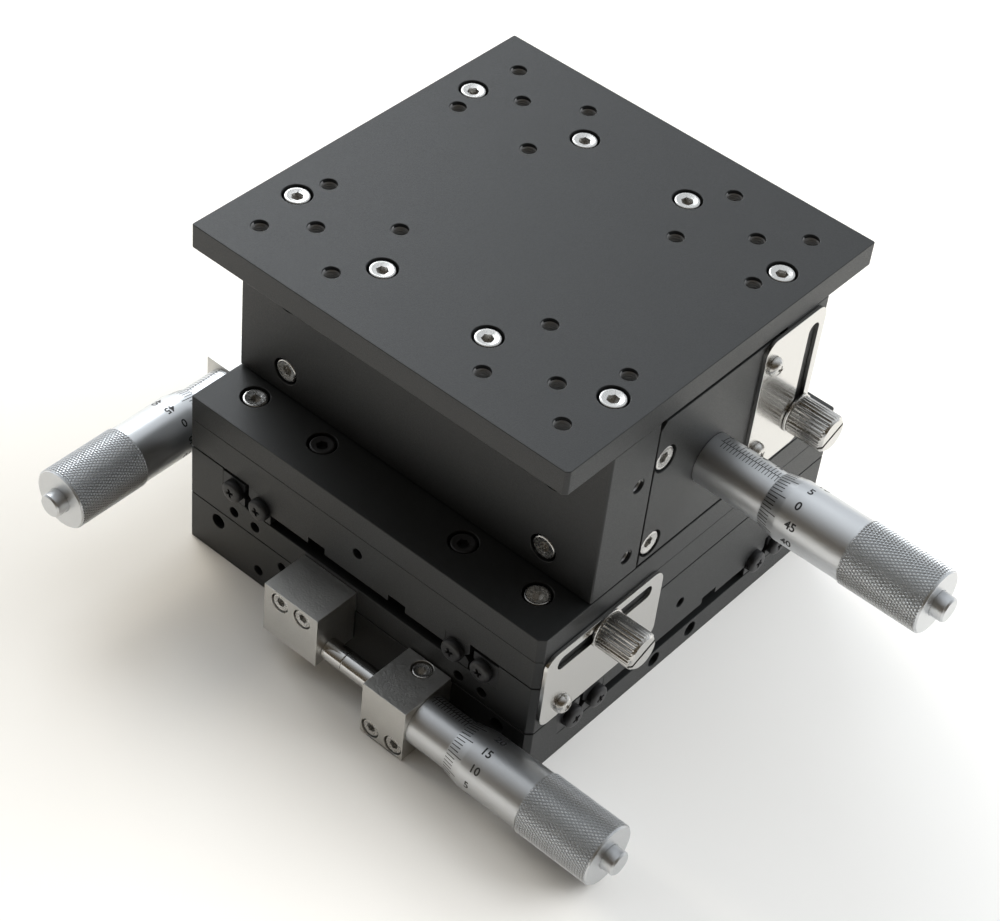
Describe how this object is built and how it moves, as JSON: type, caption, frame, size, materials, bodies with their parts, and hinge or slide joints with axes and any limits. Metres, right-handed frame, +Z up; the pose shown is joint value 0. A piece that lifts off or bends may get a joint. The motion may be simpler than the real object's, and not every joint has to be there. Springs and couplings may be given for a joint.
{
  "type": "xyz translation stage",
  "caption": "Square three-axis manual stage: stacked roller slides in X and Y, a wedge lift under a tapped table, and a micrometer head and lock knob on every axis.",
  "frame": {"origin": "centre of the base plate's flat underside", "axes": "+X along the lower slide, towards its micrometer's thimble; +Y along the upper slide, away from the face that carries the lower micrometer; +Z up, out of the table"},
  "size_m": [0.22, 0.177, 0.1116],
  "materials": {
    "black_anodised": "fine satin black anodising over ground faces",
    "milled_aluminium": "bare milled faces with faint cutter lines",
    "stainless_plate": "brushed along its length",
    "satin_chrome": "satin plating with engraved black scales",
    "bright_steel": "turned, with straight knurling",
    "ground_steel": "hardened and ground",
    "bright_screws": "plain stainless",
    "black_screws": "black oxide, slightly glossy",
    "cage_brass": "plain"
  },
  "bodies": {
    "base": {"base_plate": "black_anodised", "x_base_rails": "ground_steel", "x_base_stops": "black_screws", "x_holder_block": "milled_aluminium", "x_barrel": "satin_chrome", "x_holder_screws": "bright_screws", "x_lock_plate": "stainless_plate", "x_lock_screws": "bright_screws"},
    "x_carriage": {"mid_plate": "black_anodised", "x_slide_rails": "ground_steel", "x_slide_stops": "black_screws", "x_anvil_block": "milled_aluminium", "x_anvil_tip": "satin_chrome", "x_anvil_screws": "bright_screws", "y_base_rails": "ground_steel", "y_base_stops": "black_screws", "y_holder_block": "milled_aluminium", "y_barrel": "satin_chrome", "y_holder_screws": "bright_screws", "y_lock_plate": "stainless_plate", "y_lock_screws": "bright_screws"},
    "y_carriage": {"upper_plate": "black_anodised", "y_slide_rails": "ground_steel", "y_slide_stops": "black_screws", "y_anvil_block": "milled_aluminium", "y_anvil_tip": "satin_chrome", "y_anvil_screws": "bright_screws", "lift_base": "black_anodised", "lift_base_screws": "bright_screws", "front_plate": "black_anodised", "front_screws": "bright_screws", "rear_plate": "black_anodised", "rear_screws": "bright_screws", "core_cheeks": "black_anodised", "core_rails": "ground_steel", "z_barrel": "satin_chrome", "z_lock_plate": "stainless_plate", "z_lock_screws": "bright_screws"},
    "z_carriage": {"table": "black_anodised", "front_wall": "black_anodised", "back_wall": "black_anodised", "wall_rails": "ground_steel", "table_screws": "bright_screws", "wall_screws": "bright_screws", "lift_ramp": "ground_steel"},
    "x_feed": {"x_spindle": "satin_chrome"},
    "x_dial": {"x_thimble": "satin_chrome"},
    "y_feed": {"y_spindle": "satin_chrome"},
    "y_dial": {"y_thimble": "satin_chrome"},
    "z_feed": {"z_spindle": "satin_chrome"},
    "z_dial": {"z_thimble": "satin_chrome"},
    "z_wedge": {"wedge": "ground_steel"},
    "x_lock_knob": {"x_thumbscrew": "bright_steel"},
    "y_lock_knob": {"y_thumbscrew": "bright_steel"},
    "z_lock_knob": {"z_thumbscrew": "bright_steel"},
    "x_roller_cages": {"x_cages": "cage_brass"},
    "y_roller_cages": {"y_cages": "cage_brass"},
    "z_roller_cages": {"z_cages": "cage_brass"}
  },
  "joints": [
    {"name": "x_travel", "type": "slide", "parent": "base", "child": "x_carriage", "axis": [1, 0, 0], "range_m": [-0.0125, 0.0125]},
    {"name": "y_travel", "type": "slide", "parent": "x_carriage", "child": "y_carriage", "axis": [0, 1, 0], "range_m": [-0.0125, 0.0125]},
    {"name": "z_travel", "type": "slide", "parent": "y_carriage", "child": "z_carriage", "axis": [0, 0, 1], "range_m": [0, 0.008]},
    {"name": "x_feed_slide", "type": "slide", "parent": "base", "child": "x_feed", "axis": [1, 0, 0], "range_m": [-0.0125, 0.0125]},
    {"name": "x_dial_turn", "type": "hinge", "parent": "x_feed", "child": "x_dial", "pos_m": [0.0354, -0.072, 0.0104], "axis": [1, 0, 0], "range_deg": [-9000, 9000]},
    {"name": "y_feed_slide", "type": "slide", "parent": "x_carriage", "child": "y_feed", "axis": [0, 1, 0], "range_m": [-0.0125, 0.0125]},
    {"name": "y_dial_turn", "type": "hinge", "parent": "y_feed", "child": "y_dial", "pos_m": [-0.0752, -0.0354, 0.0287], "axis": [0, 1, 0], "range_deg": [-9000, 9000]},
    {"name": "z_feed_slide", "type": "slide", "parent": "y_carriage", "child": "z_feed", "axis": [1, 0, 0], "range_m": [-0.016, 0]},
    {"name": "z_dial_turn", "type": "hinge", "parent": "z_feed", "child": "z_dial", "pos_m": [0.062, 0, 0.0756], "axis": [1, 0, 0], "range_deg": [-11520, 0]},
    {"name": "z_wedge_slide", "type": "slide", "parent": "y_carriage", "child": "z_wedge", "axis": [1, 0, 0], "range_m": [-0.016, 0]},
    {"name": "x_knob_turn", "type": "hinge", "parent": "x_carriage", "child": "x_lock_knob", "pos_m": [0, 0.062, 0.0211], "axis": [0, 1, 0], "range_deg": [0, 270]},
    {"name": "y_knob_turn", "type": "hinge", "parent": "y_carriage", "child": "y_lock_knob", "pos_m": [0.062, -0.0368, 0.0407], "axis": [1, 0, 0], "range_deg": [0, 270]},
    {"name": "z_knob_turn", "type": "hinge", "parent": "z_carriage", "child": "z_lock_knob", "pos_m": [0.062, 0.0374, 0.068], "axis": [1, 0, 0], "range_deg": [0, 270]},
    {"name": "x_cage_slide", "type": "slide", "parent": "base", "child": "x_roller_cages", "axis": [1, 0, 0], "range_m": [-0.00625, 0.00625]},
    {"name": "y_cage_slide", "type": "slide", "parent": "x_carriage", "child": "y_roller_cages", "axis": [0, 1, 0], "range_m": [-0.00625, 0.00625]},
    {"name": "z_cage_slide", "type": "slide", "parent": "y_carriage", "child": "z_roller_cages", "axis": [0, 0, 1], "range_m": [0, 0.004]}
  ],
  "couplings": [
    {"joint": "x_feed_slide", "follows": "x_travel", "ratio": 1},
    {"joint": "x_dial_turn", "follows": "x_travel", "rad_per_m": 12566},
    {"joint": "x_cage_slide", "follows": "x_travel", "ratio": 0.5},
    {"joint": "y_feed_slide", "follows": "y_travel", "ratio": 1},
    {"joint": "y_dial_turn", "follows": "y_travel", "rad_per_m": 12566},
    {"joint": "y_cage_slide", "follows": "y_travel", "ratio": 0.5},
    {"joint": "z_feed_slide", "follows": "z_travel", "ratio": -2},
    {"joint": "z_wedge_slide", "follows": "z_travel", "ratio": -2},
    {"joint": "z_dial_turn", "follows": "z_travel", "rad_per_m": -25133},
    {"joint": "z_cage_slide", "follows": "z_travel", "ratio": 0.5}
  ]
}
